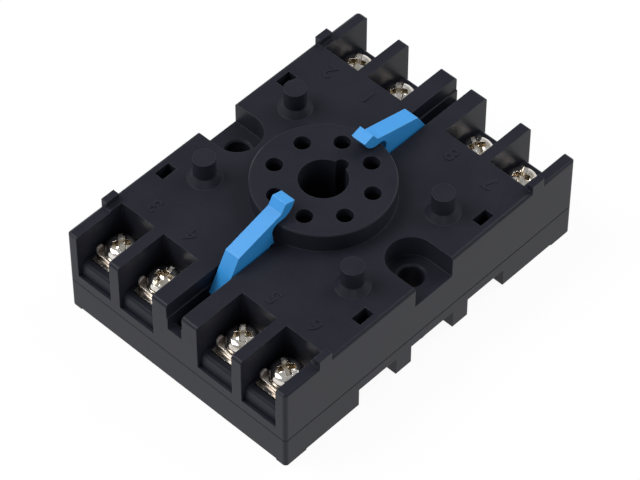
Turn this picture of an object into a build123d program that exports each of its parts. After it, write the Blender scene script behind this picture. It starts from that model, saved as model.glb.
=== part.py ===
"""Octal relay socket with screw terminals, ejector levers and a rail latch, in millimetres.

X runs across the 50 mm width, Y along the 70 mm length and Z up. The origin is the middle of the
footprint, on the surface that the corner pads stand on. The two ends are alike: the -Y end is the
+Y end turned half a turn about Z.
"""
import os
from math import cos, radians, sin

from build123d import *

# Outer form
width = 50.0
length = 70.0
pad_height = 0.3
parting_height = 6.5
top_height = 18.5
corner_radius = 0.7
rim_radius = 0.65
parting_chamfer = 0.15

# Walls of the upper moulding
shell_wall = 1.45
top_thickness = 2.2
outer_wall_drop = 0.3
low_rim_chamfer = 0.3

# Round boss with the eight pin holes
boss_radius = 12.45
boss_rise = 3.86
boss_edge = 0.2
pin_count = 8
pin_circle_diameter = 17.45
pin_hole_radius = 1.52
pin_entry_depth = 1.8
key_hole_radius = 4.3
key_notch_radius = 1.2
key_notch_y = 4.4
key_tube_radius = 6.5

# Locating pegs
peg_inset = 3.05
peg_y = 10.87
peg_radius = 2.0
peg_height = 4.8
peg_foot_radius = 3.05
peg_foot_height = 1.2

# Lever slots
slot_width = 3.6
slot_start = 13.9
slot_guide_width = 3.2
slot_guide_height = 15.4
slot_floor = 8.0
slot_lip_height = 12.8
slot_lip_depth = 1.8
slot_wall_share = 0.066
slot_block_wall = 2.0
slot_block_start = 12.3

# Terminal bays
bay_depth = 10.6
bay_back_wall = 1.6
inner_bay_extra = 0.15
barrier_share = 0.042
outer_wall_share = 0.043
sill_height = 8.6
sill_depth = 0.6

# Raised lugs on the outer walls
lug_width = 1.3
lug_lead = 0.2
lug_length = 2.8
lug_rise = 1.4

# Mounting holes and their pockets
hole_inset = 5.0
hole_radius = 2.2
hole_chamfer = 0.35
pocket_radius = 4.5
pocket_floor = 14.0
pocket_wall = 1.4
pillar_wall = 1.4
foot_pillar_wall = 0.8

# Snap hooks of the base and their windows
window_y = 14.5
window_width = 1.95
window_length = 3.25
hook_ledge_depth = 0.6
hook_ledge_base = 11.5
hook_ledge_height = 2.0
hook_thickness = 1.05
hook_length = 2.7
hook_nose_height = 1.7
hook_gap = 0.15

# Base and the channel for the 35 mm rail
rail_width = 35.0
rail_clearance = 0.2
rail_depth = 3.9
rail_thickness = 1.3
rib_start = 5.1
rib_width = 3.7
pad_width = 2.2
pad_length = 4.85
rail_hook_reach = 1.6
rail_hook_width = 6.0
rail_hook_x = 13.0
rail_hook_thickness = 2.0
core_width = 5.4
core_margin = 2.45
core_inset = 5.4
core_pitch = 7.4

# Terminal pedestals on the base
pedestal_height = 11.4
pedestal_gap = 0.1
pedestal_lean = 0.3
pedestal_edge = 0.4
pedestal_side_gap = 0.12
relief_gap = 0.6
relief_floor = 5.6

# Terminals, contacts and screws
plate_side_gap = 0.725
plate_thickness = 1.0
plate_proud = 0.2
plate_end_gap = 1.5
plate_fit = 0.12
neck_inset = 0.65
leg_width = 2.6
leg_rib_width = 1.4
screw_inset = 4.0
plate_to_thread = 3.6
contact_radius = 1.85
contact_bore = 1.2
contact_slit = 0.45
contact_top_gap = 2.0
contact_floor = 0.8
stake_width = 1.5
stake_head_width = 2.5
stake_head = 0.5
post_width = 3.8
washer_margin = 0.05
washer_thickness = 0.7
washer_bore_gap = 0.15
ear_thickness = 0.55
ear_start = 1.6
ear_end = 3.3
ear_height = 1.7
ear_corner = 0.5
spring_ring_width = 0.8
spring_washer_thickness = 0.65
spring_washer_split = 0.5
head_overlap = 0.2
head_height = 2.0
head_edge = 0.5
screw_length = 7.0
screw_fit = 0.05
slot_depth = 0.8
slot_cut = 0.8
cross_cut = 1.0
cross_margin = 1.1
cross_depth = 1.3
screw_angles = (134, 120, 152, 110, 134, 149, 100, 142)

# Ejector levers
lever_width = 3.0
pivot_y = 19.0
pivot_height = 15.0
pivot_radius = 1.5
pivot_fit = 0.06
pivot_reach = 2.8
hub_radius = 2.0
nose_y = 8.35
nose_rise = 2.79
nose_chin = 1.15
chin_reach = 2.4
ridge_y = 10.45
ridge_rise = 0.65
throat_y = 11.5
throat_drop = 1.0
boss_gap = 0.3
notch_y = 13.7
notch_reach = 1.5
toe_y = 13.3
foot_gap = 0.1
foot_length = 0.85
heel_y = 21.45
heel_rise = 2.95
tail_y = 25.6
tail_drop = 0.9

# Rail latch
latch_width = 12.0
latch_flange = 1.5
latch_flange_height = 1.4
latch_height = 2.7
latch_bottom = 1.0
latch_fit = 0.1
latch_end_gap = 0.5
latch_slot_width = 5.0
latch_slot_length = 1.6
latch_slot_inset = 1.6
latch_nose_chamfer = 0.9
spring_window_width = 3.0
spring_window_lead = 3.0
spring_window_web = 0.9
spring_tab_thickness = 1.6
spring_tab_gap = 0.3
spring_radius = 1.0
spring_wire = 0.2
spring_turns = 5
spring_end_gap = 0.05

# Places that follow from the sizes above
cavity_roof = top_height - top_thickness
boss_top = top_height + boss_rise
hole_x = width / 2 - hole_inset
peg_x = hole_x - peg_inset
pin_circle_radius = pin_circle_diameter / 2
pin_hole_floor = boss_top - pin_entry_depth
half_rail = rail_width / 2 + rail_clearance
rail_roof = pad_height + rail_depth
plate_top = pedestal_height + plate_proud
plate_base = plate_top - plate_thickness
contact_top = pin_hole_floor - contact_top_gap
chamber_width = 2 * (contact_radius + plate_fit)
washer_top = plate_top + washer_thickness
head_base = washer_top + spring_washer_thickness
slot_wall = width * slot_wall_share
barrier = width * barrier_share
outer_wall = width * outer_wall_share
inner_bay_start = slot_width / 2 + slot_wall
bay_room = width / 2 - outer_wall - inner_bay_start - barrier
inner_bay_width = (bay_room + inner_bay_extra) / 2
outer_bay_width = bay_room - inner_bay_width
outer_bay_start = inner_bay_start + inner_bay_width + barrier
bay_start = length / 2 - bay_depth
screw_y = bay_start + screw_inset
plate_width = outer_bay_width - 2 * plate_side_gap
neck_width = plate_width - 2 * neck_inset
thread_radius = plate_width / plate_to_thread
washer_half = plate_width / 2 - washer_margin
washer_bore = thread_radius + washer_bore_gap
spring_washer_radius = washer_bore + spring_ring_width
head_radius = spring_washer_radius + head_overlap
cross_length = 2 * (head_radius - cross_margin)
core_spots = (width / 2 - core_inset - core_pitch, width / 2 - core_inset)
bays = (
    (inner_bay_start + inner_bay_width / 2, inner_bay_width),
    (outer_bay_start + outer_bay_width / 2, outer_bay_width),
)
signed_bays = [(sign * x, bay_width) for sign in (-1, 1) for x, bay_width in bays]
wall_inside = width / 2 - shell_wall
cavity_end = bay_start - bay_back_wall
pedestal_front = length / 2 - sill_depth - pedestal_gap
plate_front = pedestal_front - pedestal_lean - plate_end_gap
slot_block_half = slot_guide_width / 2 + slot_block_wall
pillar_radius = hole_radius + pillar_wall
nose_height = boss_top + nose_rise
ridge_height = nose_height + ridge_rise
throat_height = nose_height - throat_drop
heel_height = top_height + heel_rise
tail_height = pivot_height - tail_drop
contact_angle = 180 / pin_count
lug_start = bay_start - lug_lead
ends = (1, -1)


def end_plane(side, height=0.0):
    """Level plane whose Y axis points out of one end: side 1 is the +Y end and -1 the -Y end."""
    return Plane(origin=(0, 0, height), x_dir=(side, 0, 0), z_dir=(0, 0, 1))


def side_plane(side):
    """Upright plane along the middle: its X axis points out of one end and its Y axis up."""
    return Plane(origin=(0, 0, 0), x_dir=(0, side, 0), z_dir=(side, 0, 0))


def contact_place(bay_x):
    """Place of the contact that the terminal at bay_x feeds, in its end's plane, facing the middle."""
    turns = 1 if abs(bay_x) == bays[0][0] else 3
    angle = turns * contact_angle * (1 if bay_x > 0 else -1)
    spot = (pin_circle_radius * sin(radians(angle)), pin_circle_radius * cos(radians(angle)), 0)
    return Location(spot, -angle)


def leg_route(bay_x):
    """Corners of the strip that leads from a terminal to its contact, in the plane of its end."""
    spot = contact_place(bay_x).position
    sign = 1 if bay_x > 0 else -1
    if abs(bay_x) == bays[0][0]:
        middle = (bay_x, spot.Y + inner_bay_width / 2)
    else:
        middle = (sign * (inner_bay_start + inner_bay_width + slot_guide_width / 2), bay_start / 2)
    return [(bay_x, cavity_end), middle, (spot.X, spot.Y)]


def save(sub_part, name):
    """Label one piece and write its STEP file."""
    sub_part.part.label = name
    export_step(sub_part.part, f"parts/{name}.step")


os.makedirs("parts", exist_ok=True)

# Upper moulding
with BuildPart() as housing:
    with BuildSketch(Plane.XY.offset(parting_height)):
        RectangleRounded(width, length, corner_radius)
    extrude(amount=top_height - parting_height)
    fillet(housing.faces().sort_by(Axis.Z)[-1].edges(), rim_radius)
    chamfer(housing.faces().sort_by(Axis.Z)[0].edges(), parting_chamfer)

    # Inside room, round the slot blocks, the screw pillars and the key tube
    with BuildSketch(Plane.XY.offset(parting_height)):
        Rectangle(2 * wall_inside, 2 * cavity_end)
        block_length = cavity_end - slot_block_start
        with Locations(*[(0, side * (slot_block_start + block_length / 2)) for side in ends]):
            Rectangle(2 * slot_block_half, block_length, mode=Mode.SUBTRACT)
        with Locations((hole_x, 0), (-hole_x, 0)):
            Circle(pillar_radius, mode=Mode.SUBTRACT)
        Circle(key_tube_radius, mode=Mode.SUBTRACT)
    extrude(amount=cavity_roof - parting_height, mode=Mode.SUBTRACT)

    # Cups that carry the mounting pockets
    with BuildSketch(Plane.XY.offset(pocket_floor - pocket_wall)):
        for sign in ends:
            with Locations((sign * hole_x, 0)):
                Circle(pocket_radius + pocket_wall)
            with Locations((sign * (hole_x + wall_inside) / 2, 0)):
                Rectangle(wall_inside - hole_x, 2 * (pocket_radius + pocket_wall))
        Rectangle(2 * wall_inside, length, mode=Mode.INTERSECT)
    extrude(amount=cavity_roof - pocket_floor + pocket_wall)
    with BuildSketch(Plane.XY.offset(pocket_floor)):
        for sign in ends:
            with Locations((sign * hole_x, 0)):
                Circle(pocket_radius)
            with Locations((sign * (hole_x + width / 2), 0)):
                Rectangle(width, 2 * pocket_radius, align=(Align.CENTER, Align.CENTER))
            with Locations((sign * hole_x / 2, 0)):
                Rectangle(hole_x, width, mode=Mode.SUBTRACT)
            with Locations((sign * hole_x, 0)):
                Circle(pocket_radius)
    extrude(amount=top_height, mode=Mode.SUBTRACT)
    with BuildSketch(Plane.XY.offset(parting_height)):
        with Locations((hole_x, 0), (-hole_x, 0)):
            Circle(hole_radius)
    extrude(amount=pocket_floor, mode=Mode.SUBTRACT)
    rims = housing.edges().filter_by(GeomType.CIRCLE).filter_by(
        lambda edge: abs(edge.radius - hole_radius) < 0.01 and edge.center().Z > pocket_floor - 0.01
    )
    chamfer(rims, hole_chamfer)

    # Boss, key hole and pin holes
    with BuildSketch(Plane.XY.offset(top_height)):
        Circle(boss_radius)
    extrude(amount=boss_rise)
    chamfer(housing.faces().sort_by(Axis.Z)[-1].edges(), boss_edge)
    with BuildSketch(Plane.XY.offset(parting_height)):
        Circle(key_hole_radius)
        with Locations((0, key_notch_y)):
            Circle(key_notch_radius)
    extrude(amount=top_height, mode=Mode.SUBTRACT)
    with BuildSketch(Plane.XY.offset(cavity_roof)):
        with PolarLocations(pin_circle_radius, pin_count, start_angle=contact_angle):
            Rectangle(chamber_width, chamber_width)
    extrude(amount=pin_hole_floor - cavity_roof, mode=Mode.SUBTRACT)
    with BuildSketch(Plane.XY.offset(pin_hole_floor)):
        with PolarLocations(pin_circle_radius, pin_count, start_angle=contact_angle):
            Circle(pin_hole_radius)
    extrude(amount=top_height, mode=Mode.SUBTRACT)

    # Pegs with conical feet
    peg_spots = [(x * peg_x, y * peg_y) for x in ends for y in ends]
    with BuildSketch(Plane.XZ, mode=Mode.PRIVATE) as peg_outline:
        with BuildLine():
            Polyline(
                (0, top_height - top_thickness / 2),
                (peg_foot_radius, top_height - top_thickness / 2),
                (peg_foot_radius, top_height),
                (peg_radius, top_height + peg_foot_height),
                (peg_radius, top_height + peg_height),
                (0, top_height + peg_height),
                close=True,
            )
        make_face()
    peg = revolve(peg_outline.sketch, Axis.Z, mode=Mode.PRIVATE)
    with Locations(*[(x, y, 0) for x, y in peg_spots]):
        add(peg)

    # Bays, open at the top and at the end
    for side in ends:
        with BuildSketch(end_plane(side, sill_height)):
            for bay_x, bay_width in signed_bays:
                with Locations((bay_x, bay_start + length / 2)):
                    Rectangle(bay_width, length)
        extrude(amount=top_height, mode=Mode.SUBTRACT)
        with BuildSketch(end_plane(side, parting_height)):
            for bay_x, bay_width in signed_bays:
                with Locations((bay_x, (bay_start + length / 2 - sill_depth) / 2)):
                    Rectangle(bay_width, length / 2 - sill_depth - bay_start)
        extrude(amount=sill_height - parting_height, mode=Mode.SUBTRACT)
        with BuildSketch(end_plane(side, parting_height)):
            for bay_x, bay_width in signed_bays:
                with Locations((bay_x, bay_start - bay_back_wall / 2)):
                    Rectangle(neck_width + 2 * plate_fit, 2 * bay_back_wall)
        extrude(amount=plate_top + plate_fit - parting_height, mode=Mode.SUBTRACT)

    # Lower tops of the outer walls, and the lugs where they start
    lug_x = width / 2 - lug_width / 2
    for side in ends:
        with BuildSketch(end_plane(side, top_height - outer_wall_drop)):
            for sign in ends:
                with Locations((sign * width / 2, lug_start + lug_length + length / 2)):
                    Rectangle(2 * outer_wall, length)
        extrude(amount=outer_wall_drop, mode=Mode.SUBTRACT)
    low_tops = housing.faces().filter_by(Plane.XY).filter_by(
        lambda face: abs(face.center().Z - top_height + outer_wall_drop) < 0.01
    )
    low_rims = low_tops.edges().filter_by(lambda edge: abs(edge.center().X) > width / 2 - rim_radius)
    chamfer(low_rims, low_rim_chamfer)
    for side in ends:
        with BuildSketch(end_plane(side, top_height - top_thickness)):
            for sign in ends:
                with Locations((sign * lug_x, lug_start + lug_length / 2)):
                    Rectangle(lug_width, lug_length)
        extrude(amount=top_thickness + lug_rise)

    # Lever slots with their guide steps, floors and pivot holes
    for side in ends:
        slot_length = length / 2 - slot_start
        with BuildSketch(end_plane(side, slot_guide_height)):
            with Locations((0, slot_start + slot_length / 2)):
                Rectangle(slot_width, slot_length)
        extrude(amount=top_height, mode=Mode.SUBTRACT)
        with BuildSketch(end_plane(side, slot_lip_height)):
            with Locations((0, slot_start + slot_length / 2)):
                Rectangle(slot_guide_width, slot_length)
        extrude(amount=slot_guide_height - slot_lip_height, mode=Mode.SUBTRACT)
        with BuildSketch(end_plane(side, slot_floor)):
            with Locations((0, slot_start + (slot_length - slot_lip_depth) / 2)):
                Rectangle(slot_guide_width, slot_length - slot_lip_depth)
        extrude(amount=slot_lip_height - slot_floor, mode=Mode.SUBTRACT)
        with BuildSketch(side_plane(side)):
            with Locations((pivot_y, pivot_height)):
                Circle(pivot_radius + pivot_fit)
        extrude(amount=pivot_reach + latch_fit, both=True, mode=Mode.SUBTRACT)

    # Windows over the snap hooks, and the ledges that the hooks grip
    window_x = wall_inside - window_width / 2
    window_spots = [(x * window_x, y * window_y) for x in ends for y in ends]
    with BuildSketch(Plane.XY.offset(cavity_roof)):
        with Locations(*window_spots):
            Rectangle(window_width, window_length)
    extrude(amount=top_height, mode=Mode.SUBTRACT)
    ledge_x = wall_inside - hook_ledge_depth / 2
    with BuildSketch(Plane.XY.offset(hook_ledge_base)):
        with Locations(*[(x * ledge_x, y * window_y) for x in ends for y in ends]):
            Rectangle(hook_ledge_depth, window_length)
    extrude(amount=hook_ledge_height)
save(housing, "housing")


# Base moulding with its feet, rail channel, posts and pedestals
rail_hook_top = rail_roof - rail_thickness
latch_top = latch_bottom + latch_height
latch_end = length / 2 - latch_end_gap
pedestal_start = bay_start + pedestal_side_gap
core_y = half_rail + (length / 2 - half_rail) / 2
core_length = length / 2 - half_rail - 2 * core_margin
spring_window_start = half_rail + spring_window_lead
spring_window_end = latch_end - latch_slot_inset - latch_slot_length - spring_window_web
spring_window_length = spring_window_end - spring_window_start
pillars = [(hole_x, 0), (-hole_x, 0)]

with BuildPart() as base:
    with BuildSketch(Plane.XY.offset(pad_height)):
        RectangleRounded(width, length, corner_radius)
    extrude(amount=parting_height - pad_height)
    chamfer(base.faces().sort_by(Axis.Z)[-1].edges(), parting_chamfer)
    with BuildSketch(Plane.XY):
        RectangleRounded(width, length, corner_radius)
        Rectangle(width - 2 * pad_width, length, mode=Mode.SUBTRACT)
        Rectangle(width, length - 2 * pad_length, mode=Mode.SUBTRACT)
    extrude(amount=pad_height)

    # Channel for the rail, with the feet that stand in it
    with BuildSketch(Plane.XY.offset(pad_height)):
        Rectangle(2 * width, 2 * half_rail)
        with Locations(*[(0, side * (rib_start + rib_width / 2)) for side in ends]):
            Rectangle(width, rib_width, mode=Mode.SUBTRACT)
        with Locations(*pillars):
            Circle(hole_radius + foot_pillar_wall, mode=Mode.SUBTRACT)
    extrude(amount=rail_depth, mode=Mode.SUBTRACT)
    with BuildSketch(Plane.XY.offset(pad_height)):
        for side in ends:
            with Locations(*[(x * sign, side * core_y) for x in core_spots for sign in ends]):
                Rectangle(core_width, core_length)
    extrude(amount=rail_depth, mode=Mode.SUBTRACT)

    # Fixed hooks on the -Y side of the rail
    with BuildSketch(end_plane(-1, rail_hook_top - rail_hook_thickness)):
        with Locations((rail_hook_x, half_rail), (-rail_hook_x, half_rail)):
            Rectangle(rail_hook_width, 2 * rail_hook_reach)
    extrude(amount=rail_hook_thickness)

    # Guide of the rail latch, and the tab that its spring pushes on
    with BuildSketch(end_plane(1, pad_height)):
        with Locations((0, (half_rail + length / 2) / 2)):
            Rectangle(latch_width + 2 * latch_fit, length / 2 - half_rail)
    extrude(amount=latch_top + latch_fit - pad_height, mode=Mode.SUBTRACT)
    flange_base = latch_top - latch_flange_height - latch_fit
    with BuildSketch(end_plane(1, flange_base)):
        with Locations((0, (half_rail + length / 2) / 2)):
            Rectangle(latch_width + 2 * (latch_flange + latch_fit), length / 2 - half_rail)
    extrude(amount=latch_top + latch_fit - flange_base, mode=Mode.SUBTRACT)
    tab_y = spring_window_end - spring_tab_gap - spring_tab_thickness / 2
    with BuildSketch(end_plane(1, latch_bottom)):
        with Locations((0, tab_y)):
            Rectangle(spring_window_width - 2 * latch_fit, spring_tab_thickness)
    extrude(amount=rail_roof + latch_fit - latch_bottom)

    # Snap hooks
    hook_inside = wall_inside - hook_ledge_depth - latch_fit - hook_thickness
    hook_top = hook_ledge_base + hook_ledge_height + hook_gap + hook_nose_height
    for x in ends:
        with BuildSketch(Plane.XZ, mode=Mode.PRIVATE) as hook_outline:
            with BuildLine():
                Polyline(
                    (x * hook_inside, parting_height - parting_chamfer),
                    (x * hook_inside, hook_top),
                    (x * (hook_inside + hook_thickness), hook_top),
                    (x * (wall_inside - hook_gap), hook_top - hook_nose_height + hook_gap * 2),
                    (x * (wall_inside - hook_gap), hook_top - hook_nose_height),
                    (x * (hook_inside + hook_thickness), hook_top - hook_nose_height),
                    (x * (hook_inside + hook_thickness), parting_height - parting_chamfer),
                    close=True,
                )
            make_face()
        hook = extrude(hook_outline.sketch, amount=hook_length / 2, both=True, mode=Mode.PRIVATE)
        with Locations((0, window_y, 0), (0, -window_y, 0)):
            add(hook)

    for side in ends:
        # Posts and ribs that carry the strips inside
        with BuildSketch(end_plane(side, parting_height - parting_chamfer)):
            for bay_x, bay_width in signed_bays:
                with BuildLine() as route:
                    Polyline(*leg_route(bay_x))
                trace(route.line, leg_rib_width)
                with Locations(contact_place(bay_x)):
                    Rectangle(post_width, post_width)
        extrude(amount=plate_base - parting_height + parting_chamfer)
        with BuildSketch(end_plane(side, plate_base - stake_head - plate_fit)):
            with Locations(*[contact_place(bay_x) for bay_x, bay_width in signed_bays]):
                Rectangle(stake_head_width + 2 * plate_fit, stake_head_width + 2 * plate_fit)
        extrude(amount=stake_head + plate_fit, mode=Mode.SUBTRACT)

        # Pedestals
        for bay_x, bay_width in signed_bays:
            with BuildSketch(side_plane(side), mode=Mode.PRIVATE) as pedestal_outline:
                with BuildLine():
                    Polyline(
                        (pedestal_start, parting_height - parting_chamfer),
                        (pedestal_front, parting_height - parting_chamfer),
                        (pedestal_front, sill_height - pedestal_edge),
                        (pedestal_front - pedestal_lean, pedestal_height - pedestal_edge),
                        (pedestal_front - pedestal_lean - pedestal_edge, pedestal_height),
                        (pedestal_start, pedestal_height),
                        close=True,
                    )
                make_face()
            pedestal = extrude(
                pedestal_outline.sketch,
                amount=bay_width / 2 - pedestal_side_gap,
                both=True,
                mode=Mode.PRIVATE,
            )
            with Locations((side * bay_x, 0, 0)):
                add(pedestal)
        with BuildSketch(end_plane(side, parting_height - parting_chamfer)):
            for bay_x, bay_width in signed_bays:
                with Locations((bay_x, (pedestal_start + cavity_end) / 2)):
                    Rectangle(neck_width, pedestal_start - cavity_end + leg_rib_width)
        extrude(amount=plate_base - parting_height + parting_chamfer)

        # Seats of the terminal plates, and room for the screw ends
        with BuildSketch(end_plane(side, plate_base)):
            for bay_x, bay_width in signed_bays:
                with Locations((bay_x, (bay_start + plate_front) / 2 + plate_fit)):
                    Rectangle(plate_width + 2 * plate_fit, plate_front - bay_start)
        extrude(amount=pedestal_height, mode=Mode.SUBTRACT)
        relief_width = 2 * (thread_radius + relief_gap)
        with BuildSketch(end_plane(side, relief_floor)):
            with Locations(*[(bay_x, screw_y) for bay_x, bay_width in signed_bays]):
                Rectangle(relief_width, relief_width)
        extrude(amount=plate_base - relief_floor, mode=Mode.SUBTRACT)

    # Mounting holes
    with BuildSketch(Plane.XY):
        with Locations(*pillars):
            Circle(hole_radius)
    extrude(amount=top_height, mode=Mode.SUBTRACT)
save(base, "base")

# Terminals, contacts, washers and screws of the eight bays
poles = [(side, bay_x) for side in ends for bay_x, bay_width in signed_bays]
for number, (side, bay_x) in enumerate(poles, start=1):
    contact_spot = contact_place(bay_x)
    turn = screw_angles[number - 1]

    with BuildPart() as terminal:
        with BuildSketch(end_plane(side, plate_base)):
            with Locations((bay_x, (bay_start + plate_front) / 2 + plate_fit)):
                Rectangle(plate_width, plate_front - bay_start - 2 * plate_fit)
            with Locations((bay_x, (bay_start + cavity_end) / 2)):
                Rectangle(neck_width, bay_start - cavity_end + leg_width)
            with BuildLine() as route:
                Polyline(*leg_route(bay_x))
            trace(route.line, leg_width)
            with Locations(contact_spot):
                Rectangle(2 * contact_radius, 2 * contact_radius)
                stake_hole = stake_width + 2 * screw_fit
                Rectangle(stake_hole, stake_hole, mode=Mode.SUBTRACT)
            with Locations((bay_x, screw_y)):
                Circle(thread_radius + screw_fit, mode=Mode.SUBTRACT)
        extrude(amount=plate_thickness)
    save(terminal, f"terminal_{number}")

    with BuildPart() as contact:
        with BuildSketch(end_plane(side, plate_base - stake_head)):
            with Locations(contact_spot):
                Rectangle(stake_head_width, stake_head_width)
        extrude(amount=stake_head)
        with BuildSketch(end_plane(side, plate_base)):
            with Locations(contact_spot):
                Rectangle(stake_width, stake_width)
        extrude(amount=plate_thickness)
        with BuildSketch(end_plane(side, plate_top)):
            with Locations(contact_spot):
                Circle(contact_radius)
        extrude(amount=contact_top - plate_top)
        with BuildSketch(end_plane(side, plate_top + contact_floor)):
            with Locations(contact_spot):
                Circle(contact_bore)
        extrude(amount=contact_top, mode=Mode.SUBTRACT)
        with BuildSketch(end_plane(side, plate_top + 2 * contact_floor)):
            with Locations(contact_spot):
                Rectangle(contact_slit, 3 * contact_radius)
        extrude(amount=contact_top, mode=Mode.SUBTRACT)
    save(contact, f"contact_{number}")

    with BuildPart() as clamp_washer:
        with BuildSketch(end_plane(side, plate_top)):
            with Locations((bay_x, screw_y)):
                Rectangle(2 * washer_half, 2 * washer_half)
                Circle(washer_bore, mode=Mode.SUBTRACT)
        extrude(amount=washer_thickness)
        with BuildSketch(end_plane(side, plate_top)):
            ear_x = bay_x + washer_half - ear_thickness / 2
            with Locations((ear_x, screw_y + (ear_start + ear_end) / 2)):
                Rectangle(ear_thickness, ear_end - ear_start)
        extrude(amount=washer_thickness + ear_height)
        ear_top = clamp_washer.faces().sort_by(Axis.Z)[-1].edges().filter_by(Axis.X)
        chamfer(ear_top, ear_corner)
    save(clamp_washer, f"clamp_washer_{number}")

    with BuildPart() as spring_washer:
        with BuildSketch(end_plane(side, washer_top)):
            with Locations((bay_x, screw_y)):
                Circle(spring_washer_radius)
                Circle(washer_bore, mode=Mode.SUBTRACT)
                with Locations((0, spring_washer_radius)):
                    Rectangle(spring_washer_split, 2 * spring_washer_radius, mode=Mode.SUBTRACT)
        extrude(amount=spring_washer_thickness)
    save(spring_washer, f"spring_washer_{number}")

    with BuildPart() as screw:
        with BuildSketch(end_plane(side, head_base)):
            with Locations((bay_x, screw_y)):
                Circle(head_radius)
        extrude(amount=head_height)
        chamfer(screw.faces().sort_by(Axis.Z)[-1].edges(), head_edge)
        with BuildSketch(end_plane(side, head_base - screw_length)):
            with Locations((bay_x, screw_y)):
                Circle(thread_radius)
        extrude(amount=screw_length)
        with BuildSketch(end_plane(side, head_base + head_height - slot_depth)):
            with Locations(Location((bay_x, screw_y, 0), turn)):
                Rectangle(3 * head_radius, slot_cut)
        extrude(amount=slot_depth, mode=Mode.SUBTRACT)
        with BuildSketch(end_plane(side, head_base + head_height - cross_depth)):
            with Locations(Location((bay_x, screw_y, 0), turn)):
                Rectangle(cross_cut, cross_length)
                Rectangle(cross_length, cross_cut)
        extrude(amount=cross_depth, mode=Mode.SUBTRACT)
    save(screw, f"terminal_screw_{number}")

# Ejector levers
for side, name in ((1, "lever_rear"), (-1, "lever_front")):
    underside = boss_top + boss_gap
    foot = top_height + foot_gap
    with BuildPart() as lever:
        with BuildSketch(side_plane(side)):
            with BuildLine():
                chin = (nose_y + nose_chin / 2, nose_height - nose_chin)
                under_chin = (nose_y + chin_reach, underside)
                under_notch = (notch_y - notch_reach, underside)
                inner_notch = (notch_y, underside - notch_reach)
                hub_side = hub_radius * cos(radians(45))
                Polyline(
                    inner_notch,
                    (toe_y, foot),
                    (toe_y + foot_length, foot),
                    (toe_y + foot_length + hub_radius / 2, foot - hub_radius),
                    (pivot_y - hub_side, pivot_height - hub_side),
                    (pivot_y, pivot_height - hub_radius),
                    (tail_y - hub_radius / 4, pivot_height - hub_radius),
                    (tail_y, tail_height),
                    (heel_y, heel_height),
                    (throat_y, throat_height),
                    (ridge_y, ridge_height),
                    (nose_y, nose_height),
                    chin,
                )
                bow = nose_chin * cos(radians(45))
                ThreePointArc(chin, (chin[0] + bow, chin[1] - bow), under_chin)
                Line(under_chin, under_notch)
                turn_in = notch_reach * cos(radians(45))
                middle = (notch_y - notch_reach + turn_in, underside - notch_reach + turn_in)
                ThreePointArc(under_notch, middle, inner_notch)
            make_face()
        extrude(amount=lever_width / 2, both=True)
        with BuildSketch(side_plane(side)):
            with Locations((pivot_y, pivot_height)):
                Circle(pivot_radius)
        extrude(amount=pivot_reach, both=True)
    save(lever, name)

# Rail latch and its spring
latch_tip = half_rail - rail_hook_reach
with BuildPart() as latch:
    with BuildSketch(end_plane(1, latch_bottom)):
        with Locations((0, (latch_tip + latch_end) / 2)):
            Rectangle(latch_width, latch_end - latch_tip)
    extrude(amount=latch_height)
    with BuildSketch(end_plane(1, latch_top - latch_flange_height)):
        flange_start = half_rail + latch_fit
        with Locations((0, (flange_start + latch_end) / 2)):
            Rectangle(latch_width + 2 * latch_flange, latch_end - flange_start)
    extrude(amount=latch_flange_height)
    with BuildSketch(end_plane(1, rail_hook_top)):
        Rectangle(width, 2 * half_rail)
    extrude(amount=latch_top, mode=Mode.SUBTRACT)
    tip = latch.edges().filter_by(Axis.X).sort_by(Axis.Y)[0:2].sort_by(Axis.Z)[0]
    chamfer(tip, latch_nose_chamfer)
    with BuildSketch(end_plane(1, latch_bottom)):
        with Locations((0, spring_window_start + spring_window_length / 2)):
            Rectangle(spring_window_width, spring_window_length)
        with Locations((0, latch_end - latch_slot_inset - latch_slot_length / 2)):
            SlotOverall(latch_slot_width, latch_slot_length)
    extrude(amount=latch_height, mode=Mode.SUBTRACT)
save(latch, "rail_latch")

spring_length = tab_y - spring_tab_thickness / 2 - spring_window_start - 2 * (spring_end_gap + spring_wire)
with BuildPart() as latch_spring:
    with BuildLine() as coil:
        Helix(
            spring_length / spring_turns,
            spring_length,
            spring_radius,
            center=(0, spring_window_start + spring_end_gap + spring_wire, latch_bottom + latch_height / 2),
            direction=(0, 1, 0),
        )
    with BuildSketch(coil.line ^ 0):
        RegularPolygon(spring_wire, 4)
    sweep()
save(latch_spring, "latch_spring")
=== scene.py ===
"""Looks of the octal relay socket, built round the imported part.

The mouldings and the rail latch are black PBT, the ejector levers blue acetal, the terminals,
washers and screws nickel-plated, and the contacts tinned bronze. Lengths are in millimetres until
a piece is put in its place.
"""
import logging
import math
from collections.abc import Callable
from dataclasses import dataclass, field
from enum import Enum

import bmesh
import bpy
from mathutils import Matrix, Vector


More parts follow.
